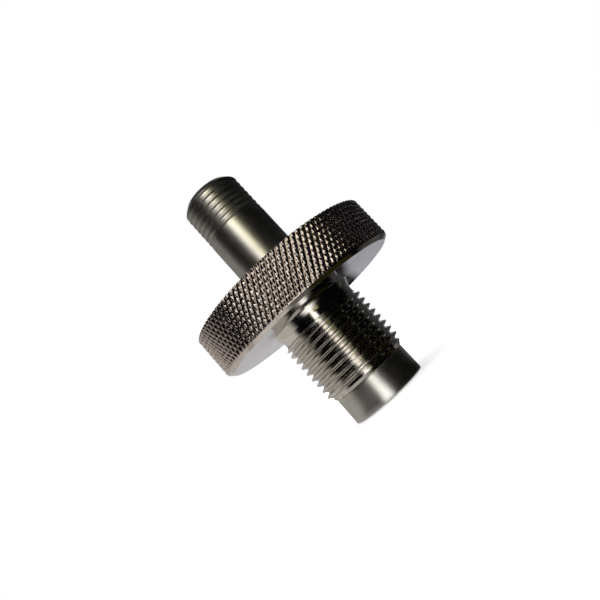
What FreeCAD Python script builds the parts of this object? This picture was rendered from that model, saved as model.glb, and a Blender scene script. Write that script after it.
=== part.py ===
import FreeCAD
import Part

import math
import os

os.makedirs("parts", exist_ok=True)

V = FreeCAD.Vector

# Handwheel hose connector: a turned stem that carries a loose handwheel with
# a knurled rim and a male G5/8 thread. Millimetres. The axis is Z, the nose
# points down and the hose end points up. Z = 0 is the underside of the seal
# in the nose, which the part stands on.

# Round cord seal in the nose end face
SEAL_CORD_R = 0.89
SEAL_MEAN_R = 6.45
SEAL_PROUD = 0.25
SEAL_SIDE_GAP = 0.06
SEAL_SEGMENTS = 32
SEAL_SIDES = 8

# Stem: nose, plain shank and hose end, with a bore right through
NOSE_R = 9.95
NOSE_LENGTH = 6.83
NOSE_EDGE = 0.4
SHANK_R = 8.0
STEM_LENGTH = 66.31
TAIL_CHAMFER = 1.3
BORE_R = 3.0

# Handwheel, measured up from the nose end where a height is needed
WHEEL_R = 25.5
WHEEL_FACE_R = 23.94
WHEEL_FACE_HEIGHT = 27.39
WHEEL_CHAMFER = 1.1
WHEEL_WIDTH = 11.24
NECK_R = 10.58
NECK_FILLET = 0.5
WHEEL_CLEARANCE = 0.05

# Male G5/8 thread: 14 turns to the inch, flanks 55 degrees apart
THREAD_R = 11.42
THREAD_PITCH = 25.4 / 14
THREAD_DEPTH = 0.6403 * THREAD_PITCH
THREAD_CORE_SPARE = 0.1
THREAD_FLANK_ANGLE = 27.5
THREAD_LENGTH = 16.9
THREAD_CHAMFER = 1.1
THREAD_RELIEF = 0.55
THREAD_CREST_START = -0.62
THREAD_FADE_TURNS = 0.6
THREAD_STEPS = 26

# Diamond knurl: two families of V grooves, one each way round
KNURL_COUNT = 118
KNURL_ANGLE = 30.0
KNURL_DEPTH = 0.5
KNURL_ROW_OFFSET = 0.6
RIM_SPARE = 1.0

# Retaining ring behind the handwheel, sunk in a pocket in its back
RING_SEAT_R = 7.6
RING_BAND_R = 9.8
RING_THICKNESS = 1.0
RING_SLOT = 1.1
RING_GAP_ANGLE = 40.0
RING_LUG_R = 1.7
RING_LUG_CENTRE_R = 9.2
RING_LUG_INSET = 0.6
RING_HOLE_R = 0.85
POCKET_R = 11.6
POCKET_DEPTH = 2.0
WHEEL_PLAY = 0.15

# Heights that follow
NOSE_Z = SEAL_PROUD
SHOULDER_Z = NOSE_Z + NOSE_LENGTH
STEM_TOP_Z = NOSE_Z + STEM_LENGTH
FACE_Z = NOSE_Z + WHEEL_FACE_HEIGHT
RIM_Z = FACE_Z + WHEEL_CHAMFER
BACK_Z = FACE_Z + WHEEL_WIDTH
POCKET_Z = BACK_Z - POCKET_DEPTH
RING_Z = POCKET_Z + WHEEL_PLAY
SLOT_TOP_Z = RING_Z + RING_THICKNESS
THREAD_TOP_Z = SHOULDER_Z + THREAD_LENGTH
WHEEL_BORE_R = SHANK_R + WHEEL_CLEARANCE


def polar(radius, angle, z):
    return V(radius * math.cos(angle), radius * math.sin(angle), z)


def turned(outline):
    """Solid of revolution about Z from an outline of (radius, z) corners."""
    corners = [V(r, 0, z) for r, z in outline]
    face = Part.Face(Part.makePolygon(corners + [corners[0]]))
    return face.revolve(V(0, 0, 0), V(0, 0, 1), 360)


def cylinder(radius, bottom, height):
    return Part.makeCylinder(radius, height, V(0, 0, bottom))


def faceted(points, facets):
    """Closed solid from points and triangles of point numbers."""
    net = Part.Shape()
    net.makeShapeFromMesh((points, facets), 0.0001, False)
    solid = Part.makeSolid(Part.makeShell(net.Faces))
    if solid.Volume < 0:
        solid.reverse()
    return solid


def quad(a, b, c, d):
    """Two triangles for the four corners of one cell, in order round it."""
    return [(a, b, c), (a, c, d)]


def make_stem():
    inner_r = SEAL_MEAN_R - SEAL_CORD_R - SEAL_SIDE_GAP
    outer_r = SEAL_MEAN_R + SEAL_CORD_R + SEAL_SIDE_GAP
    seal_floor = 2 * SEAL_CORD_R
    slot_z = SLOT_TOP_Z - RING_SLOT
    return turned([
        (BORE_R, NOSE_Z),
        (inner_r, NOSE_Z),
        (inner_r, seal_floor),
        (outer_r, seal_floor),
        (outer_r, NOSE_Z),
        (NOSE_R - NOSE_EDGE, NOSE_Z),
        (NOSE_R, NOSE_Z + NOSE_EDGE),
        (NOSE_R, SHOULDER_Z),
        (SHANK_R, SHOULDER_Z),
        (SHANK_R, slot_z),
        (RING_SEAT_R, slot_z),
        (RING_SEAT_R, SLOT_TOP_Z),
        (SHANK_R, SLOT_TOP_Z),
        (SHANK_R, STEM_TOP_Z - TAIL_CHAMFER),
        (SHANK_R - TAIL_CHAMFER, STEM_TOP_Z),
        (BORE_R, STEM_TOP_Z),
    ])


def make_seal():
    """Cord ring, faceted round and along, with a flat against its groove floor."""
    points = []
    for i in range(SEAL_SEGMENTS):
        angle = 2 * math.pi * i / SEAL_SEGMENTS
        for k in range(SEAL_SIDES):
            turn = 2 * math.pi * k / SEAL_SIDES + math.pi / 2
            radius = SEAL_MEAN_R + SEAL_CORD_R * math.cos(turn)
            points.append(polar(radius, angle, SEAL_CORD_R * (1 + math.sin(turn))))
    facets = []
    for i in range(SEAL_SEGMENTS):
        here = i * SEAL_SIDES
        there = (i + 1) % SEAL_SEGMENTS * SEAL_SIDES
        for k in range(SEAL_SIDES):
            after = (k + 1) % SEAL_SIDES
            facets += quad(here + k, there + k, there + after, here + after)
    return faceted(points, facets)


def make_ring():
    """Open spring ring with a lug and a plier hole at each side of its gap."""
    band = cylinder(RING_BAND_R, RING_Z, RING_THICKNESS)
    half_gap = math.radians(RING_GAP_ANGLE / 2)
    reach = 2 * RING_BAND_R
    gap = Part.Face(Part.makePolygon([
        V(0, 0, RING_Z),
        polar(reach, -half_gap, RING_Z),
        polar(reach, half_gap, RING_Z),
        V(0, 0, RING_Z),
    ])).extrude(V(0, 0, RING_THICKNESS))
    ring = band.cut(gap)
    lug_angle = half_gap + RING_LUG_INSET * RING_LUG_R / RING_LUG_CENTRE_R
    for side in (-1, 1):
        centre = polar(RING_LUG_CENTRE_R, side * lug_angle, RING_Z)
        lug = Part.makeCylinder(RING_LUG_R, RING_THICKNESS, centre)
        hole = Part.makeCylinder(RING_HOLE_R, RING_THICKNESS, centre)
        ring = ring.fuse(lug).cut(hole)
    ring = ring.cut(cylinder(RING_SEAT_R, RING_Z, RING_THICKNESS))
    return ring.removeSplitter()


def knurled_prism():
    """Prism round the rim whose side is a net of four-sided points."""
    row_height = math.pi * WHEEL_R / KNURL_COUNT / math.tan(math.radians(KNURL_ANGLE))
    around = 2 * KNURL_COUNT
    low = FACE_Z - KNURL_ROW_OFFSET * row_height
    rows = math.ceil((BACK_Z - low) / row_height) + 1
    points = []
    for n in range(rows + 1):
        for m in range(around):
            radius = WHEEL_R - KNURL_DEPTH * ((m + n) % 2)
            points.append(polar(radius, math.pi * m / KNURL_COUNT, low + n * row_height))
    points += [V(0, 0, low), V(0, 0, low + rows * row_height)]
    bottom = len(points) - 2
    top = len(points) - 1

    def at(m, n):
        return n * around + m % around

    facets = []
    for n in range(rows + 1):
        for m in range(n % 2, around, 2):
            if n < rows:
                facets.append((at(m, n), at(m + 1, n), at(m, n + 1)))
                facets.append((at(m, n), at(m, n + 1), at(m - 1, n)))
            if n > 0:
                facets.append((at(m, n), at(m - 1, n), at(m, n - 1)))
                facets.append((at(m, n), at(m, n - 1), at(m + 1, n)))
    for m in range(around):
        facets.append((bottom, at(m + 1, 0), at(m, 0)))
        facets.append((top, at(m, rows), at(m + 1, rows)))
    return faceted(points, facets)


def threaded_core():
    """Core with a right-hand thread whose groove fades out at the neck."""
    flank = THREAD_DEPTH * math.tan(math.radians(THREAD_FLANK_ANGLE))
    flat = THREAD_PITCH / 2 - flank
    offsets = [-flat / 2, flat / 2, flat / 2 + flank, 1.5 * flat + flank]
    start = SHOULDER_Z + THREAD_CREST_START - 2 * THREAD_PITCH
    groove_turns = (THREAD_TOP_Z - start) / THREAD_PITCH
    turns = math.ceil(groove_turns) + 3
    last = turns * THREAD_STEPS
    points = []
    for j in range(last + 1):
        turn = j / THREAD_STEPS
        cut = min(1.0, max(0.0, (groove_turns - turn) / THREAD_FADE_TURNS))
        root_r = THREAD_R - THREAD_DEPTH * cut
        for offset, radius in zip(offsets, (THREAD_R, THREAD_R, root_r, root_r)):
            z = start + THREAD_PITCH * turn + offset
            points.append(polar(radius, 2 * math.pi * turn, z))
    points += [V(0, 0, points[0].z), V(0, 0, points[-1].z)]
    bottom = len(points) - 2
    top = len(points) - 1

    def at(row, j):
        """Point on a row of the strip; row 4 is the first row one turn on."""
        if row == 4:
            return 4 * (j + THREAD_STEPS)
        return 4 * j + row

    facets = []
    for row in range(4):
        end = last if row < 3 else last - THREAD_STEPS
        for j in range(end):
            facets += quad(at(row, j), at(row, j + 1), at(row + 1, j + 1), at(row + 1, j))
    low_rim = [at(0, j) for j in range(THREAD_STEPS + 1)]
    low_rim += [at(row, 0) for row in (3, 2, 1, 0)]
    high_rim = [at(3, j) for j in range(last - THREAD_STEPS, last + 1)]
    high_rim += [at(row, last) for row in (2, 1, 0)]
    high_rim.append(at(3, last - THREAD_STEPS))
    for a, b in zip(low_rim, low_rim[1:]):
        facets.append((bottom, b, a))
    for a, b in zip(high_rim, high_rim[1:]):
        facets.append((top, a, b))
    return faceted(points, facets)


def make_neck():
    """Threaded end and relieved neck, up to the plane of the wheel face."""
    over_r = THREAD_R + THREAD_CORE_SPARE
    chamfer = THREAD_CHAMFER * (1 + THREAD_CORE_SPARE / THREAD_DEPTH)
    blank = turned([
        (WHEEL_BORE_R, SHOULDER_Z),
        (THREAD_R - THREAD_DEPTH, SHOULDER_Z),
        (over_r, SHOULDER_Z + chamfer),
        (over_r, THREAD_TOP_Z - THREAD_RELIEF),
        (NECK_R, THREAD_TOP_Z),
        (NECK_R, FACE_Z - NECK_FILLET),
        (NECK_R + NECK_FILLET, FACE_Z),
        (WHEEL_BORE_R, FACE_Z),
    ])
    return blank.common(threaded_core())


def rim_polygon(radius, z):
    """Wire with a flat for each tooth of the knurl."""
    step = 2 * math.pi / KNURL_COUNT
    corners = [polar(radius, (i + 0.5) * step, z) for i in range(KNURL_COUNT)]
    return Part.makePolygon(corners + [corners[0]])


def make_disc():
    """Knurled disc with its chamfered front edge, its bore and its back pocket."""
    over_r = WHEEL_R + RIM_SPARE
    over_z = RIM_Z + RIM_SPARE * WHEEL_CHAMFER / (WHEEL_R - WHEEL_FACE_R)
    blank = Part.makeLoft([
        rim_polygon(WHEEL_FACE_R, FACE_Z),
        rim_polygon(over_r, over_z),
        rim_polygon(over_r, BACK_Z),
    ], True, True)
    blank = blank.cut(cylinder(WHEEL_BORE_R, FACE_Z, WHEEL_WIDTH))
    blank = blank.cut(cylinder(POCKET_R, POCKET_Z, POCKET_DEPTH))
    return knurled_prism().common(blank)


def make_wheel():
    return make_neck().fuse(make_disc())


PIECES = {
    "stem": make_stem,
    "handwheel": make_wheel,
    "nose_o_ring": make_seal,
    "retaining_ring": make_ring,
}

for name, make in PIECES.items():
    piece = make()
    piece.exportStep("parts/" + name + ".step")
    print(name, len(piece.Solids), piece.isValid(), round(piece.Volume, 2))
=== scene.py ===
import math

import bpy
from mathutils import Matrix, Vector


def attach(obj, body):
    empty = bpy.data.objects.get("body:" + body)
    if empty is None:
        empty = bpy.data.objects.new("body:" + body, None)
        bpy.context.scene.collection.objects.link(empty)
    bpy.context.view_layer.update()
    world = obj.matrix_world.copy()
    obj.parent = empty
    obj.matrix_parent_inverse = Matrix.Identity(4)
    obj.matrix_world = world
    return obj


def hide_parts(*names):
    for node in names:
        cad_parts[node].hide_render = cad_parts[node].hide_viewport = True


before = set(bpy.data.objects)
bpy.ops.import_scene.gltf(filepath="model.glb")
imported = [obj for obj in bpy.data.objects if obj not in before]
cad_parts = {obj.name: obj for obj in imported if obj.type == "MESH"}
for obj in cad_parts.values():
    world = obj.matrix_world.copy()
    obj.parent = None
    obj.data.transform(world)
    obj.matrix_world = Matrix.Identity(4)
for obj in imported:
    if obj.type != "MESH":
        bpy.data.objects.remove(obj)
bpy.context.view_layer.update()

MM = 0.001
TAU = 2 * math.pi

# Sizes in millimetres, as in the construction
NOSE_R = 9.95
NOSE_Z = 0.25
SHOULDER_Z = 7.08
SHANK_R = 8.0
STEM_TOP_Z = 66.56
BORE_R = 3.0
SEAL_CORD_R = 0.89
SEAL_MEAN_R = 6.45
SEAL_SIDE_GAP = 0.06
RING_SEAT_R = 7.6
RING_SLOT_LOW = 36.93
RING_SLOT_HIGH = 38.03
WHEEL_R = 25.5
WHEEL_FACE_R = 23.94
FACE_Z = 27.64
RIM_Z = 28.74
FACE_CONE = (WHEEL_R - WHEEL_FACE_R) / (RIM_Z - FACE_Z)
BACK_Z = 38.88
WHEEL_BORE_R = 8.05
NECK_R = 10.58
POCKET_R = 11.6
POCKET_Z = 36.88
THREAD_R = 11.42
THREAD_PITCH = 25.4 / 14
THREAD_DEPTH = 0.6403 * THREAD_PITCH
THREAD_FLANK_ANGLE = 27.5
THREAD_CREST_START = -0.62
THREAD_CREST_Z = SHOULDER_Z + THREAD_CREST_START
THREAD_TOP_Z = 23.98
THREAD_RELIEF = 0.55
KNURL_COUNT = 118
KNURL_ANGLE = 30.0
KNURL_DEPTH = 0.5
KNURL_ROW_OFFSET = 0.6
KNURL_ROW = math.pi * WHEEL_R / KNURL_COUNT / math.tan(math.radians(KNURL_ANGLE))
KNURL_LOW_Z = FACE_Z - KNURL_ROW_OFFSET * KNURL_ROW

# Edges and chamfers that the solids leave sharp or make plainer. The two rounded ones have a
# point in the middle and a ring past the end, at these shares of the edge's size.
NOSE_EDGE = 0.12
NOSE_EDGE_MIDDLE = (0.3, 0.42)
NOSE_EDGE_END = 2.4
SHOULDER_BREAK = 0.12
SHOULDER_MIDDLE = 0.3
SHOULDER_END = 2
SEAL_EDGE = 0.1
BORE_EDGE = 0.4
TAIL_BORE_EDGE = 0.5
TAIL_CHAMFER = 1.4
FACE_BREAK = 0.05
FACE_FILLET = 0.15
BACK_BEVEL = 0.14
POCKET_EDGE = 0.2
WHEEL_BORE_EDGE = 0.15

# Hose end thread, which the solid leaves out. On the camera's side a crest is at TAIL_CREST_Z.
TAIL_PITCH = 1.545
TAIL_CREST_Z = 56.74
TAIL_DEPTH = 0.17
TAIL_ROUNDNESS = 0.8
TAIL_THREAD_Z = 54.5
TAIL_FADE_BELOW = 0.2
TAIL_FADE_ABOVE = 1.6
TAIL_STEPS = 12
TAIL_BAND_LOW = TAIL_THREAD_Z - 0.4
TAIL_TRIM = 0.9

# G5/8 thread: rounded crests and roots, a broken start and a run-out into the neck. The rounding
# is a share of the pitch, and its arc has rows at these degrees.
THREAD_ROUNDING = 0.1373
THREAD_ARC = (-62.5, -42, -21, 0, 21, 42, 62.5)
THREAD_END_R = 9.78
THREAD_END_BREAK = 0.2
THREAD_END_BREAK_Z = SHOULDER_Z + 0.22
THREAD_END_SLOPE = 0.75
THREAD_FADE_BELOW = 0.5
THREAD_FADE_ABOVE = 0.75
THREAD_FADE_LIFT = 1.2
# Share of the depth by which the thread's roots are darkened in colour, as painted shade
THREAD_HOLLOW_SHADE = 0.55
THREAD_BAND_TOP_Z = 24.95

# Hollow neck. Its flare starts at FLARE_Z and curves less past FLARE_BEND_Z, and the fillet
# between it and the disc has rings at these degrees.
NECK_HOLLOW = 0.12
FLARE_Z = 25.0
FLARE_BEND_Z = 25.85
FLARE_CURVE = 0.2
FLARE_END_CURVE = 0.045
FLARE_RINGS = (25.2, 25.5, 25.8, 26.1, 26.4, 26.6, 26.9, 27.2)
FILLET_TURNS = (0, 22, 45, 68, 90)

# Knurl. KNURL_STEPS mesh points make a tooth, one family of grooves is shallower, and the tips
# and the bottoms of the grooves are blunt. Depths and heights are shares of KNURL_DEPTH.
KNURL_STEPS = 6
KNURL_POINTS = KNURL_COUNT * KNURL_STEPS
KNURL_STEP_Z = KNURL_ROW / KNURL_STEPS
KNURL_SHALLOW = 0.72
KNURL_TIP_END = 0.1
KNURL_TIP_DEPTH = 0.08
KNURL_GROOVE_START = 0.9
KNURL_GROOVE_DEPTH = 0.93
KNURL_FLANK = 0.92

# Points round a ring, and rings that hold the shading of flat faces and long cylinders
ROUND = 192
FACE_RING_R = 23.1
BACK_RING_R = 24.6
CHAMFER_RINGS = (0.03, 0.08, 0.64, 0.70)
SHANK_RINGS = (44.0, 50.0)

# Points round the seal's cord, and in each of the rings that run along it
SEAL_SIDES = 24
SEAL_COUNT = 96

# A helical row nearer than this to the end of its band is drawn on the band's end ring
SNAP = 0.02


def add_object(name, data):
    """New object in the scene."""
    made = bpy.data.objects.new(name, data)
    bpy.context.scene.collection.objects.link(made)
    return made


class Shell:
    """Collects rings of points round the Z axis and the faces between them."""

    def __init__(self):
        self.points = []
        self.faces = []
        self.cavity = []
        self.sharp = set()

    def point(self, angle, radius, z, cavity=0.0):
        self.points.append((radius * math.cos(angle) * MM, radius * math.sin(angle) * MM, z * MM))
        self.cavity.append(cavity)
        return len(self.points) - 1

    def ring(self, radius, z, count=ROUND, sharp=False):
        ids = [self.point(TAU * i / count, radius, z) for i in range(count)]
        if sharp:
            self.mark(ids)
        return ids

    def mark(self, ids):
        """Marks the edges of a closed ring as sharp."""
        for a, b in zip(ids, ids[1:] + ids[:1]):
            self.sharp.add((min(a, b), max(a, b)))

    def angle(self, i):
        x, y, _ = self.points[i]
        return math.atan2(y, x) % TAU

    def join(self, low, high):
        """Faces between two rings, which may have different numbers of points."""
        if len(low) == len(high):
            n = len(low)
            for i in range(n):
                j = (i + 1) % n
                self.faces.append((low[i], low[j], high[j], high[i]))
            return
        a = self.opened(low)
        b = self.opened(high)
        i = j = 0
        while i < len(low) or j < len(high):
            step_low = j == len(high) or (i < len(low) and a[i + 1][0] <= b[j + 1][0])
            if step_low:
                self.faces.append((a[i][1], a[i + 1][1], b[j][1]))
                i += 1
            else:
                self.faces.append((a[i][1], b[j + 1][1], b[j][1]))
                j += 1

    def opened(self, ids):
        """(angle, point) pairs of a ring, closed by its first point one turn on."""
        pairs = []
        for n, i in enumerate(ids):
            turn = self.angle(i)
            if n and turn < pairs[-1][0] - 1:
                turn += TAU
            pairs.append((turn, i))
        if pairs[0][0] > math.pi:
            pairs = [(turn - TAU, i) for turn, i in pairs]
        return pairs + [(pairs[0][0] + TAU, pairs[0][1])]

    def chain(self, rings):
        for low, high in zip(rings, rings[1:]):
            self.join(low, high)

    def build(self, name):
        """Smooth mesh object, with its sharp edges and the depth of its hollows as attributes."""
        mesh = bpy.data.meshes.new(name)
        mesh.from_pydata(self.points, [], self.faces)
        mesh.polygons.foreach_set("use_smooth", [True] * len(mesh.polygons))
        flags = [tuple(sorted(edge.vertices)) in self.sharp for edge in mesh.edges]
        sharp = mesh.attributes.new("sharp_edge", "BOOLEAN", "EDGE")
        sharp.data.foreach_set("value", flags)
        depth = mesh.attributes.new("cavity", "FLOAT", "POINT")
        depth.data.foreach_set("value", self.cavity)
        mesh.update()
        return add_object(name, mesh)


def helical_band(shell, low_ring, high_ring, low, high, pitch, crest_z, steps, surface):
    """Thread skin between two rings. Its rows follow the helix, and stop at low and high."""
    count = len(low_ring)
    per_turn = len(steps)
    first = math.floor((low - crest_z) / pitch) - 2
    last = math.ceil((high - crest_z) / pitch) + 1
    rows = []
    for turn in range(first, last + 1):
        rows += [(turn + s) * pitch + crest_z for s in steps]
    made = {}

    def at(row, column):
        if column == count:
            row += per_turn
            column = 0
        key = (row, column)
        if key not in made:
            z = rows[row] + pitch * column / count if row < len(rows) else high + pitch
            if z <= low + SNAP:
                made[key] = low_ring[column]
            elif z >= high - SNAP:
                made[key] = high_ring[column]
            else:
                angle = TAU * column / count
                radius, cavity = surface(angle, z)
                made[key] = shell.point(angle, radius, z, cavity)
        return made[key]

    for row in range(len(rows) - 1):
        for column in range(count):
            below = [at(row, column), at(row, column + 1)]
            above = [at(row + 1, column + 1), at(row + 1, column)]
            corners = below + above
            unique = [c for n, c in enumerate(corners) if c != corners[n - 1]]
            if len(set(unique)) >= 3:
                shell.faces.append(tuple(unique))


def ramp(value, low, high):
    return min(1.0, max(0.0, (value - low) / (high - low)))


def smooth(value, low, high):
    t = ramp(value, low, high)
    return t * t * (3 - 2 * t)


# Handwheel

def thread_profile(offset):
    """Depth below the crest in mm, by the distance from the crest's middle in pitches."""
    half = math.radians(THREAD_FLANK_ANGLE)
    rounding = THREAD_ROUNDING * THREAD_PITCH
    run = abs(offset) * THREAD_PITCH
    arc = rounding * math.cos(half)
    if run < arc:
        return rounding - math.sqrt(rounding ** 2 - run ** 2)
    back = THREAD_PITCH / 2 - run
    if back < arc:
        return THREAD_DEPTH - (rounding - math.sqrt(rounding ** 2 - back ** 2))
    return rounding * (1 - math.sin(half)) + (run - arc) / math.tan(half)


def thread_rows():
    """Heights of one turn's rows, in pitches: over the arc of a crest, then of a root."""
    crest = [THREAD_ROUNDING * math.sin(math.radians(a)) for a in THREAD_ARC]
    return crest + [0.5 + s for s in crest]


def neck_line(z):
    """Radius of the hollow neck, which flares toward the face."""
    rise = max(0.0, min(z, FLARE_BEND_Z) - FLARE_Z)
    past = max(0.0, z - FLARE_BEND_Z)
    flare = FLARE_CURVE * rise ** 2 + 2 * FLARE_CURVE * rise * past + FLARE_END_CURVE * past ** 2
    return NECK_R - NECK_HOLLOW + flare


def end_cone(z):
    """Radius of the chamfer that ends the thread above the nose."""
    edge = THREAD_END_BREAK * ramp(z, SHOULDER_Z, THREAD_END_BREAK_Z)
    return THREAD_END_R + edge + THREAD_END_SLOPE * max(0.0, z - THREAD_END_BREAK_Z)


def thread_surface(angle, z):
    """Radius of the thread, which runs out into the neck, and how deep its hollow is."""
    turn = (z - THREAD_CREST_Z) / THREAD_PITCH - angle / TAU
    depth = thread_profile(turn - round(turn))
    fade = smooth(z, THREAD_TOP_Z - THREAD_FADE_BELOW, THREAD_TOP_Z + THREAD_FADE_ABOVE)
    if z > THREAD_TOP_Z:
        skin = neck_line(z)
    else:
        relief = ramp(z, THREAD_TOP_Z - THREAD_RELIEF, THREAD_TOP_Z)
        skin = THREAD_R + (NECK_R - THREAD_R) * relief
    radius = min(skin, THREAD_R - depth + THREAD_FADE_LIFT * fade, end_cone(z))
    return radius, THREAD_HOLLOW_SHADE * depth / THREAD_DEPTH * (1 - fade)


def knurl_height(angle, z):
    """Depth of the knurl below its points, from 0 to 1."""
    teeth = angle * KNURL_COUNT / TAU
    climb = (z - KNURL_LOW_Z) / (2 * KNURL_ROW)
    u = teeth + climb
    v = teeth - climb
    return 2 * max(KNURL_SHALLOW * abs(u - round(u)), abs(v - round(v)))


def knurl_radius(height):
    """Radius for a depth of the knurl, with its points and groove bottoms blunted."""
    if height <= KNURL_TIP_END:
        depth = KNURL_TIP_DEPTH
    elif height >= KNURL_GROOVE_START:
        depth = KNURL_GROOVE_DEPTH
    else:
        depth = (1 - KNURL_FLANK) / 2 + KNURL_FLANK * height
    return WHEEL_R - KNURL_DEPTH * depth


def knurl_angle(j, k):
    """Angle of point j in row k. Every other row is half a point on."""
    return TAU * (j + 0.5 * (k % 2)) / KNURL_POINTS


def knurl_band(shell):
    """Rows of points along both families of grooves, from the front cone to the back."""
    start_z = FACE_Z + (WHEEL_R - KNURL_DEPTH - WHEEL_FACE_R) / FACE_CONE
    k = math.ceil((start_z - KNURL_LOW_Z) / KNURL_STEP_Z)
    rows = []
    while KNURL_LOW_Z + k * KNURL_STEP_Z < BACK_Z - BACK_BEVEL:
        z = KNURL_LOW_Z + k * KNURL_STEP_Z
        cone = WHEEL_FACE_R + (z - FACE_Z) * FACE_CONE
        ids = []
        for j in range(KNURL_POINTS):
            angle = knurl_angle(j, k)
            height = knurl_height(angle, z)
            radius = knurl_radius(height)
            # The depth also darkens the grooves' colour in the material, as painted shade
            cavity = height if radius < cone else 0.0
            ids.append(shell.point(angle, min(radius, cone), z, cavity))
        rows.append((k, ids))
        k += 1
    for n, (k, ids) in enumerate(rows):
        for j in range(KNURL_POINTS):
            right = (j + 1) % KNURL_POINTS
            over = j if k % 2 == 0 else right
            corners = [ids[j]]
            if n > 0:
                corners.append(rows[n - 1][1][over])
            corners.append(ids[right])
            if n < len(rows) - 1:
                corners.append(rows[n + 1][1][over])
            shell.faces.append(tuple(corners))
    return rows[0][1], rows[-1][1], rows[-1][0]


def make_neck(shell, low_end):
    """Thread, neck and the fillet under the disc. Gives the last ring."""
    neck_ring = shell.ring(neck_line(THREAD_BAND_TOP_Z), THREAD_BAND_TOP_Z)
    helical_band(shell, low_end, neck_ring, SHOULDER_Z, THREAD_BAND_TOP_Z, THREAD_PITCH,
                 THREAD_CREST_Z, thread_rows(), thread_surface)
    neck = [neck_ring] + [shell.ring(neck_line(z), z) for z in FLARE_RINGS]
    base_z = FACE_Z - FACE_FILLET
    base = neck_line(base_z)
    for turn in FILLET_TURNS:
        a = math.radians(turn)
        radius = base + FACE_FILLET * (1 - math.cos(a))
        neck.append(shell.ring(radius, base_z + FACE_FILLET * math.sin(a)))
    shell.chain(neck)
    return neck[-1]


def make_wheel():
    shell = Shell()
    low_end = shell.ring(THREAD_END_R, SHOULDER_Z, sharp=True)
    neck_end = make_neck(shell, low_end)
    knurl_first, knurl_last, last_k = knurl_band(shell)
    count = KNURL_POINTS
    front = [
        shell.ring(FACE_RING_R, FACE_Z, count, sharp=True),
        shell.ring(WHEEL_FACE_R - FACE_BREAK, FACE_Z, count, sharp=True),
    ]
    for rise in CHAMFER_RINGS:
        front.append(shell.ring(WHEEL_FACE_R + FACE_CONE * rise, FACE_Z + rise, count))
    shell.chain([neck_end] + front + [knurl_first])
    bevel = []
    for j in range(count):
        angle = knurl_angle(j, last_k)
        rim = knurl_radius(knurl_height(angle, BACK_Z - BACK_BEVEL))
        bevel.append(shell.point(angle, rim - BACK_BEVEL, BACK_Z))
    shell.mark(bevel)
    back_face = shell.ring(BACK_RING_R, BACK_Z, count)
    bore = [
        (POCKET_R + POCKET_EDGE, BACK_Z),
        (POCKET_R, BACK_Z - POCKET_EDGE),
        (POCKET_R, POCKET_Z),
        (WHEEL_BORE_R + WHEEL_BORE_EDGE, POCKET_Z),
        (WHEEL_BORE_R, POCKET_Z - WHEEL_BORE_EDGE),
        (WHEEL_BORE_R, SHOULDER_Z),
    ]
    inside = [shell.ring(radius, z, sharp=True) for radius, z in bore]
    shell.chain([knurl_last, bevel, back_face] + inside + [low_end])
    return shell.build("handwheel_turned")


# Stem

def tail_surface(angle, z):
    """Radius of the hose end, a shallow rounded thread inside its chamfer, and its hollow."""
    turn = (z - TAIL_CREST_Z) / TAIL_PITCH - (angle + TAU / 4) / TAU
    offset = abs(turn - round(turn))
    wave = 0.5 - 0.5 * math.cos(TAU * offset)
    fade = smooth(z, TAIL_THREAD_Z - TAIL_FADE_BELOW, TAIL_THREAD_Z + TAIL_FADE_ABOVE)
    depth = TAIL_DEPTH * wave ** TAIL_ROUNDNESS * fade
    cone = SHANK_R - (z - (STEM_TOP_Z - TAIL_CHAMFER))
    # The depth share also darkens the roots' colour in the material, as painted shade
    return min(SHANK_R - depth, cone), depth / TAIL_DEPTH


def stem_outline():
    """(radius, z, sharp) of each ring from the bore at the nose up to the spring ring's slot."""
    inner = SEAL_MEAN_R - SEAL_CORD_R - SEAL_SIDE_GAP
    outer = SEAL_MEAN_R + SEAL_CORD_R + SEAL_SIDE_GAP
    floor = 2 * SEAL_CORD_R
    inward, upward = [share * NOSE_EDGE for share in NOSE_EDGE_MIDDLE]
    middle = SHOULDER_MIDDLE * SHOULDER_BREAK
    return [
        (BORE_R, NOSE_Z + BORE_EDGE, True),
        (BORE_R + BORE_EDGE, NOSE_Z, True),
        (inner - SEAL_EDGE, NOSE_Z, True),
        (inner, NOSE_Z + SEAL_EDGE, True),
        (inner, floor, True),
        (outer, floor, True),
        (outer, NOSE_Z + SEAL_EDGE, True),
        (outer + SEAL_EDGE, NOSE_Z, True),
        (NOSE_R - NOSE_EDGE, NOSE_Z, True),
        (NOSE_R - inward, NOSE_Z + upward, False),
        (NOSE_R, NOSE_Z + NOSE_EDGE, False),
        (NOSE_R, NOSE_Z + NOSE_EDGE_END * NOSE_EDGE, False),
        (NOSE_R, SHOULDER_Z - SHOULDER_END * SHOULDER_BREAK, False),
        (NOSE_R, SHOULDER_Z - SHOULDER_BREAK, False),
        (NOSE_R - middle, SHOULDER_Z - middle, False),
        (NOSE_R - SHOULDER_BREAK, SHOULDER_Z, True),
        (SHANK_R, SHOULDER_Z, True),
        (SHANK_R, RING_SLOT_LOW, True),
        (RING_SEAT_R, RING_SLOT_LOW, True),
        (RING_SEAT_R, RING_SLOT_HIGH, True),
        (SHANK_R, RING_SLOT_HIGH, True),
    ]


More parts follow.
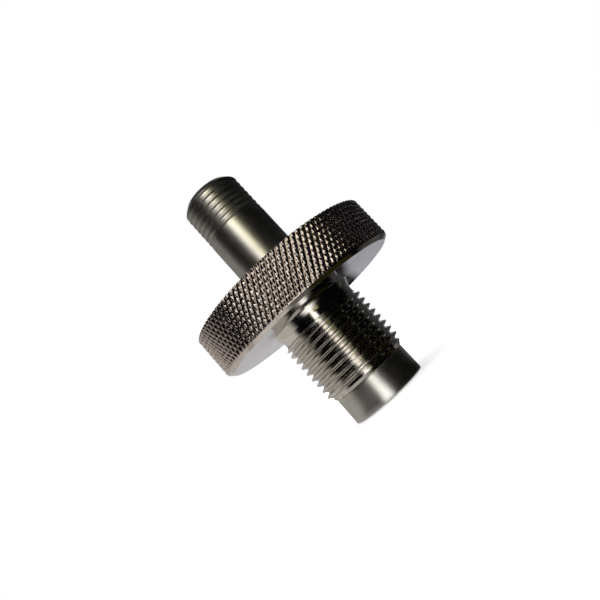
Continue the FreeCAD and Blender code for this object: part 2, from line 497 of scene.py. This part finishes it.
def make_stem():
    shell = Shell()
    rings = [shell.ring(radius, z, sharp=sharp) for radius, z, sharp in stem_outline()]
    for z in (*SHANK_RINGS, TAIL_BAND_LOW):
        rings.append(shell.ring(SHANK_R, z))
    shell.chain(rings)
    band_high = STEM_TOP_Z - TAIL_CHAMFER + TAIL_TRIM
    tail_end = shell.ring(SHANK_R - TAIL_TRIM, band_high)
    steps = [n / TAIL_STEPS for n in range(TAIL_STEPS)]
    helical_band(shell, rings[-1], tail_end, TAIL_BAND_LOW, band_high, TAIL_PITCH, TAIL_CREST_Z,
                 steps, tail_surface)
    end = [
        (SHANK_R - TAIL_CHAMFER, STEM_TOP_Z),
        (BORE_R + TAIL_BORE_EDGE, STEM_TOP_Z),
        (BORE_R, STEM_TOP_Z - TAIL_BORE_EDGE),
    ]
    end_rings = [shell.ring(radius, z, sharp=True) for radius, z in end]
    shell.chain([tail_end] + end_rings + [rings[0]])
    return shell.build("stem_turned")


# Seal

def make_seal():
    shell = Shell()
    rings = []
    for k in range(SEAL_SIDES):
        turn = TAU * k / SEAL_SIDES - math.pi / 2
        radius = SEAL_MEAN_R + SEAL_CORD_R * math.cos(turn)
        rings.append(shell.ring(radius, SEAL_CORD_R * (1 + math.sin(turn)), SEAL_COUNT))
    shell.chain(rings + [rings[0]])
    return shell.build("o_ring")


# Materials

def material(name, **values):
    """New material, its node tree and its shader, with values for the shader's own sockets."""
    made = bpy.data.materials.new(name)
    made.use_nodes = True
    shader = made.node_tree.nodes["Principled BSDF"]
    for key, value in values.items():
        shader.inputs[key.replace("_", " ")].default_value = value
    return made, made.node_tree, shader


def node(tree, kind, links=None, **settings):
    """New node. Each of its links is a socket to join or a value to set."""
    made = tree.nodes.new(kind)
    for key, value in settings.items():
        setattr(made, key, value)
    for key, value in (links or {}).items():
        socket = made.inputs[key]
        if isinstance(value, bpy.types.NodeSocket):
            tree.links.new(value, socket)
        else:
            socket.default_value = value
    return made


def compute(tree, operation, *values):
    return node(tree, "ShaderNodeMath", dict(enumerate(values)), operation=operation).outputs[0]


def remap(tree, value, source, target, **settings):
    """Maps one range, a (low, high) pair, on to another."""
    links = {"Value": value, "From Min": source[0], "From Max": source[1],
             "To Min": target[0], "To Max": target[1]}
    return node(tree, "ShaderNodeMapRange", links, **settings).outputs[0]


def noise(tree, vector, scale, detail, roughness=0.5):
    links = {"Vector": vector, "Scale": scale, "Detail": detail, "Roughness": roughness}
    return node(tree, "ShaderNodeTexNoise", links).outputs["Fac"]


def mixed(tree, factor, first, second, blend="MIX"):
    links = {"Factor": factor, "A": first, "B": second}
    made = node(tree, "ShaderNodeMix", links, data_type="RGBA", blend_type=blend)
    return made.outputs["Result"]


def bump(tree, strength, distance, height):
    """Bump node itself, so that a second bump can lie under it."""
    links = {"Strength": strength, "Distance": distance, "Height": height}
    return node(tree, "ShaderNodeBump", links)


# How fast the tool marks change along the axis and outward, against round it
MARK_STRETCH = 60.0
# Heights of the bumps in metres, and the radii between which the knurl's stain and burrs set in
MARK_HEIGHT = 0.00002
BURR_HEIGHT = 0.00013
GRAIN_HEIGHT = 0.00003
RIM_RADII = (0.0244, 0.0249)
RIM_STAIN = (1.0, 0.93, 0.965, 1)
# Spread of the roughness over the tool marks, and what haze and the painted shade in the hollows
# add to it
ROUGH_SPREAD = (-0.04, 0.06)
SHADE_AND_HAZE_ROUGHNESS = 0.12


def turned_steel(name, color, dark, rough, relief, aniso=0.0, worn=0.0):
    """Lathe-turned steel: rings of fine tool marks, a little haze, and shade painted into the
    hollows.
    """
    made, tree, shader = material(name, Metallic=1.0, Anisotropic=aniso, Anisotropic_Rotation=0.25,
                                  Specular_Tint=(0.85, 0.85, 0.88, 1))
    place = node(tree, "ShaderNodeTexCoord").outputs["Object"]
    x, y, z = node(tree, "ShaderNodeSeparateXYZ", {0: place}).outputs
    flat = node(tree, "ShaderNodeCombineXYZ", {"X": x, "Y": y}).outputs[0]
    radius = node(tree, "ShaderNodeVectorMath", {0: flat}, operation="LENGTH").outputs["Value"]
    run = compute(tree, "MULTIPLY", compute(tree, "ADD", radius, z), MARK_STRETCH)
    lathe = node(tree, "ShaderNodeCombineXYZ", {"X": x, "Y": y, "Z": run}).outputs[0]
    marks = noise(tree, lathe, scale=90.0, detail=4.0, roughness=0.65)
    haze = noise(tree, place, scale=260.0, detail=3.0)
    speck = noise(tree, place, scale=2200.0, detail=2.0)
    cavity = node(tree, "ShaderNodeAttribute", attribute_name="cavity").outputs["Fac"]

    # Painted shade: the colour darkens toward the dark tone in the deep hollows of the threads and
    # the knurl
    painted_hollow_shade = remap(tree, cavity, (0.45, 1.0), (0.0, 0.75))
    patch = remap(tree, haze, (0.35, 0.7), (0.0, 0.22))
    shade_and_haze = compute(tree, "MAXIMUM", painted_hollow_shade, patch)
    tone = mixed(tree, shade_and_haze, (*color, 1), (*dark, 1))
    rim = remap(tree, radius, RIM_RADII, (0.0, 1.0))
    stained = mixed(tree, rim, tone, RIM_STAIN, "MULTIPLY")
    tree.links.new(stained, shader.inputs["Base Color"])

    gloss = remap(tree, marks, (0.3, 0.7), [rough + off for off in ROUGH_SPREAD])
    dull = compute(tree, "MULTIPLY_ADD", shade_and_haze, SHADE_AND_HAZE_ROUGHNESS, gloss)
    tree.links.new(dull, shader.inputs["Roughness"])

    fine = bump(tree, relief, MARK_HEIGHT, compute(tree, "ADD", marks, speck))
    if worn:
        cut = remap(tree, cavity, (0.02, 0.12), (0.0, worn))
        share = compute(tree, "MULTIPLY", rim, cut)
        torn = noise(tree, place, scale=3200.0, detail=2.0)
        burrs = bump(tree, share, BURR_HEIGHT, torn)
        tree.links.new(burrs.outputs[0], fine.inputs["Normal"])
    tree.links.new(fine.outputs[0], shader.inputs["Normal"])
    tangent = node(tree, "ShaderNodeTangent", direction_type="RADIAL", axis="Z")
    tree.links.new(tangent.outputs[0], shader.inputs["Tangent"])
    return made


def rubber():
    """Black rubber with a fine grain."""
    made, tree, shader = material("seal_rubber_black")
    place = node(tree, "ShaderNodeTexCoord").outputs["Object"]
    grain = noise(tree, place, scale=900.0, detail=4.0)
    gloss = remap(tree, grain, (0.0, 1.0), (0.38, 0.62))
    tree.links.new(gloss, shader.inputs["Roughness"])
    tone = mixed(tree, grain, (0.012, 0.012, 0.012, 1), (0.035, 0.034, 0.033, 1))
    tree.links.new(tone, shader.inputs["Base Color"])
    skin = bump(tree, 0.3, GRAIN_HEIGHT, grain)
    tree.links.new(skin.outputs[0], shader.inputs["Normal"])
    return made


def dress(piece, look, body, cad_node):
    """Gives a piece its material, and puts it in the place of a solid of the frame."""
    piece.data.materials.clear()
    piece.data.materials.append(look)
    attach(piece, body)
    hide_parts(cad_node)


# The second colour of each steel is the painted shade of its hollows, and also the tone of its
# haze patches
stem_steel = turned_steel("stem_steel_turned", (0.63, 0.62, 0.595), (0.38, 0.36, 0.33),
                          rough=0.30, relief=0.2)
wheel_steel = turned_steel("wheel_steel_turned", (0.66, 0.64, 0.605), (0.30, 0.22, 0.18),
                           rough=0.09, relief=0.015, worn=0.8)
spring_steel = turned_steel("spring_steel_dull", (0.26, 0.26, 0.27), (0.12, 0.12, 0.12),
                            rough=0.32, relief=0.4, aniso=0.2)

dress(make_stem(), stem_steel, "stem", "stem")
dress(make_wheel(), wheel_steel, "handwheel", "handwheel")
dress(make_seal(), rubber(), "stem", "nose_o_ring")
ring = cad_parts["retaining_ring"]
ring.data.materials.clear()
ring.data.materials.append(spring_steel)


# Stage, in metres where nothing else is said

FLOOR_REACH = 6.0
FLOOR_GLOW = (0.05, 0.45)
LAMP_TARGET = (0, 0, 0.03)


def show_paths(tree):
    """1 for rays from the camera, from gloss and through glass."""
    path = node(tree, "ShaderNodeLightPath").outputs
    seen = compute(tree, "MAXIMUM", path["Is Camera Ray"], path["Is Glossy Ray"])
    return compute(tree, "MAXIMUM", seen, path["Is Transmission Ray"])


def make_world(level):
    """White world. It lights the part at a lower level than it shows."""
    world = bpy.data.worlds.new("studio")
    bpy.context.scene.world = world
    world.use_nodes = True
    tree = world.node_tree
    sky = tree.nodes["Background"]
    fill = remap(tree, show_paths(tree), (0.0, 1.0), (level, 1.0))
    tree.links.new(fill, sky.inputs["Strength"])
    sky.inputs["Color"].default_value = (1, 1, 1, 1)


def make_floor(glow):
    """Pale floor that takes the shadow. Its glow grows to white between the FLOOR_GLOW radii."""
    mesh = bpy.data.meshes.new("floor")
    r = FLOOR_REACH
    mesh.from_pydata([(-r, -r, 0), (r, -r, 0), (r, r, 0), (-r, r, 0)], [], [(0, 1, 2, 3)])
    floor = add_object("floor", mesh)
    made, tree, shader = material("floor_pale", Roughness=0.9, Base_Color=(0.8, 0.8, 0.8, 1),
                                  Specular_IOR_Level=0.0, Emission_Color=(1, 1, 1, 1))
    place = node(tree, "ShaderNodeTexCoord").outputs["Object"]
    away = node(tree, "ShaderNodeVectorMath", {0: place}, operation="LENGTH").outputs["Value"]
    rise = remap(tree, away, FLOOR_GLOW, (glow, 1.0), interpolation_type="SMOOTHSTEP")
    lift = compute(tree, "MULTIPLY", show_paths(tree), rise)
    tree.links.new(lift, shader.inputs["Emission Strength"])
    floor.data.materials.append(made)


def softbox(name, place, size, power):
    """Area lamp aimed at the part, which neither the camera nor gloss sees."""
    lamp = bpy.data.lights.new(name, "AREA")
    lamp.shape = "RECTANGLE"
    lamp.size, lamp.size_y = size
    lamp.energy = power
    holder = add_object(name, lamp)
    holder.location = place
    aim = Vector(LAMP_TARGET) - Vector(place)
    holder.rotation_euler = aim.to_track_quat("-Z", "Y").to_euler()
    holder.visible_camera = False
    holder.visible_glossy = False


def around(bearing, distance, height):
    """Place by its bearing in degrees, from 0 on the camera's side to 90 at -X."""
    turn = math.radians(-90 - bearing)
    return (distance * math.cos(turn), distance * math.sin(turn), height)


make_world(level=0.55)
make_floor(glow=0.35)
softbox("front", around(4, 0.60, 0.30), size=(0.4, 0.5), power=2.0)
softbox("left", around(70, 0.7, 0.5), size=(0.7, 0.7), power=3.0)
softbox("top", (0.1, 0.1, 0.9), size=(1.4, 1.4), power=8.0)


# Reflection tent. Each row is a radius and a height in mm, and a run: the number by which the
# patches below find the row. Risers, treads, floors and the pit have runs of their own, and on
# the wall and in the roof the run is the height.

TENT_COLUMNS = 240
TENT_DARK = [0.002, 0.002, 0.0025]
WALL_R = 76
WALL_TOP = 104
WALL_ROWS = (10, 13, 16, 20, 24, 28, 33, 39, 45, 51, 57, 64, 72, 80, 88, 96, WALL_TOP)
# The roof leans to this bearing, by this much for each millimetre above the wall
ROOF_BEARING = 40
ROOF_LEAN = 0.8

INNER_FLOOR = ((10.4, 0.1, -80), (11.4, 0.1, -72), (13.1, 0.15, -70), (14.3, 0.2, -64))
FIRST_STEP = ((15.0, 0.2, -48), (15.1, 1.0, -46),
              (15.3, 1.0, -66), (18, 0.65, -63), (20.9, 0.3, -60))
SECOND_STEP = ((21.0, 0.3, -48), (21.1, 1.6, -45),
               (21.3, 1.6, -59), (26, 1.0, -55), (30.8, 0.4, -53))
THIRD_STEP = ((31.0, 0.4, -48), (31.1, 3.2, -45), (31.2, 6.2, -42))
PIT = ((31.3, 6.2, -100), (31.4, 0.3, -98), (36, 0.3, -96), (40, 0.3, -94), (43.8, 0.3, -90))
OUTER_FLOOR = ((43.9, 0.3, -38), (44.0, 2.3, -35), (44.1, 4.3, -32), (44.2, 6.3, -30),
               (50, 6.4, -24), (58, 6.5, -16), (67, 6.8, -8), (73, 7.5, -2))
WALL = tuple((WALL_R, z, z) for z in WALL_ROWS)
ROOF = ((73, 110, 110), (68, 117, 117), (60, 125, 125), (50, 132, 132), (40, 138, 138),
        (30, 141, 141), (20, 143, 143))
TENT_LINE = INNER_FLOOR + FIRST_STEP + SECOND_STEP + THIRD_STEP + PIT + OUTER_FLOOR + WALL + ROOF

# Patches of light and dark: middle bearing, half width and edge, low and high run and edge,
# and colour. A later patch lies over an earlier one.
RISER_LIGHTS = (
    (112, 46, 14, -50, -40.5, 0.5, (0.43, 0.41, 0.38)),
    (-156, 36, 12, -50, -40.5, 0.5, (0.20, 0.20, 0.20)),
    (2, 10, 6, -50, -40.5, 0.5, (2.5, 2.45, 2.38)),
)
PIT_LIGHTS = (
    (108, 50, 12, -101, -88, 0.5, (0.66, 0.62, 0.57)),
    (-130, 30, 14, -101, -88, 0.5, (0.10, 0.10, 0.09)),
    (5, 12, 14, -101, -88, 0.5, (2.0, 1.97, 1.9)),
    (6, 18, 22, -101, -93, 2, (2.0, 1.97, 1.9)),
)
OUTER_FLOOR_LIGHTS = (
    (112, 50, 12, -40, 2, 1, (0.60, 0.57, 0.52)),
    (-140, 36, 12, -40, 2, 1, (0.09, 0.088, 0.084)),
    (-8, 7, 3, -33, -14, 1, (0.40, 0.41, 0.15)),
    (5, 12, 14, -40, -34, 1, (2.0, 1.97, 1.9)),
    (4, 4.5, 2, -34, 2, 1, (1.8, 1.75, 1.47)),
)
WALL_LIGHTS = (
    (112, 42, 10, 8, 50, 5, (0.66, 0.63, 0.58)),
    (125, 38, 10, 50, 116, 5, (0.28, 0.272, 0.25)),
    (-155, 42, 18, 8, 64, 8, (0.06, 0.06, 0.06)),
    (-125, 25, 12, 80, 106, 4, (0.03, 0.03, 0.03)),
)
# Low on the far wall, where the disc's face looks
FACE_LIGHTS = (
    (-178, 20, 8, 2, 30, 5, (0.66, 0.68, 0.71)),
    (-155, 12, 5, 2, 27, 3, (0.46, 0.47, 0.49)),
    (164, 20, 10, 2, 30, 5, (0.65, 0.64, 0.64)),
    (-168.9, 5.3, 1.5, 2, 30, 5, (0.003, 0.003, 0.003)),
)
# Narrow strips on the camera's side, which draw the bright lines along the axis
STRIP_LIGHTS = (
    (3, 6, 3, 2, 50, 4, (2.1, 2.02, 1.86)),
    (2, 11, 8, 50, 106, 4, (2.1, 2.03, 1.88)),
    (2, 11, 8, 82, 106, 4, (4.0, 3.84, 3.4)),
    (-7, 5, 4, 50, 106, 4, (2.0, 1.9, 1.2)),
)
KNURL_SPOT = (3.5, 2, 41, 48, 1.5, (0.7, 0.7, 0.68))
KNURL_SPOTS = tuple((bearing, *KNURL_SPOT) for bearing in (-58, -84, -112))
# High on the far wall and in the roof
FAR_LIGHTS = (
    (180, 20, 10, 42, 96, 6, (1.1, 1.08, 1.0)),
    (180, 26, 8, 102, 122, 5, (0.8, 0.79, 0.76)),
)
# On the treads of the steps, and the last on the inner floor
TREAD_LIGHTS = (
    (0, 18, 8, -68, -59.5, 0.5, (0.16, 0.145, 0.14)),
    (80, 60, 10, -68, -51, 1, (0.70, 0.66, 0.62)),
    (-55, 40, 12, -68, -51, 1, (0.02, 0.017, 0.004)),
    (-110, 20, 10, -68, -51, 1, (0.20, 0.19, 0.18)),
    (53, 57, 10, -75, -68.5, 0.5, (0.48, 0.47, 0.44)),
)
PATCHES = (RISER_LIGHTS + PIT_LIGHTS + OUTER_FLOOR_LIGHTS + WALL_LIGHTS + FACE_LIGHTS
           + STRIP_LIGHTS + KNURL_SPOTS + FAR_LIGHTS + TREAD_LIGHTS)


def paint(color, patch, bearing, run):
    """Lays one soft-edged patch over a colour."""
    middle, half, edge, low, high, fade, tone = patch
    off = abs((bearing - middle + 180) % 360 - 180)
    share = 1 - smooth(off, half - edge, half + edge)
    share *= smooth(run, low - fade, low + fade) * (1 - smooth(run, high - fade, high + fade))
    return [c + (t - c) * share for c, t in zip(color, tone)]


def make_tent():
    """Dark tent with the patches on it, seen by gloss alone. The roof has a small opening."""
    points = []
    light = []
    for radius, height, run in TENT_LINE:
        lean = around(ROOF_BEARING, ROOF_LEAN * max(0, run - WALL_TOP) * MM, 0)
        for n in range(TENT_COLUMNS):
            bearing = 360 * n / TENT_COLUMNS
            x, y, z = around(bearing, radius * MM, height * MM)
            points.append((x + lean[0], y + lean[1], z))
            color = TENT_DARK
            for patch in PATCHES:
                color = paint(color, patch, bearing, run)
            light += color + [1.0]
    faces = []
    for k in range(len(TENT_LINE) - 1):
        for n in range(TENT_COLUMNS):
            a = k * TENT_COLUMNS + n
            b = k * TENT_COLUMNS + (n + 1) % TENT_COLUMNS
            faces.append((a, b, b + TENT_COLUMNS, a + TENT_COLUMNS))
    mesh = bpy.data.meshes.new("tent")
    mesh.from_pydata(points, [], faces)
    glow = mesh.attributes.new("light", "FLOAT_COLOR", "POINT")
    glow.data.foreach_set("color", light)
    tent = add_object("tent", mesh)
    made, tree, shader = material("tent", Roughness=1.0, Base_Color=(0, 0, 0, 1),
                                  Specular_IOR_Level=0.0, Emission_Strength=1.0)
    tone = node(tree, "ShaderNodeAttribute", attribute_name="light")
    tree.links.new(tone.outputs["Color"], shader.inputs["Emission Color"])
    tent.data.materials.append(made)
    tent.visible_camera = False
    tent.visible_diffuse = False
    tent.visible_shadow = False
    tent.visible_transmission = False


make_tent()

# Camera, fitted to the photograph's outline: lens in mm, place in metres, turn in degrees

CAMERA_SENSOR = 36.0
CAMERA_LENS = 31.128
CAMERA_PLACE = (0, -0.125078, 0.013316)
CAMERA_TURN = (100.90714, 41.76815, 7.5482)

lens = bpy.data.cameras.new("camera")
lens.sensor_fit = "HORIZONTAL"
lens.sensor_width = CAMERA_SENSOR
lens.lens = CAMERA_LENS
lens.clip_start = 0.005
lens.clip_end = 30.0
camera = add_object("camera", lens)
camera.location = CAMERA_PLACE
camera.rotation_euler = [math.radians(a) for a in CAMERA_TURN]
bpy.context.scene.camera = camera
bpy.context.scene.view_settings.view_transform = "Standard"
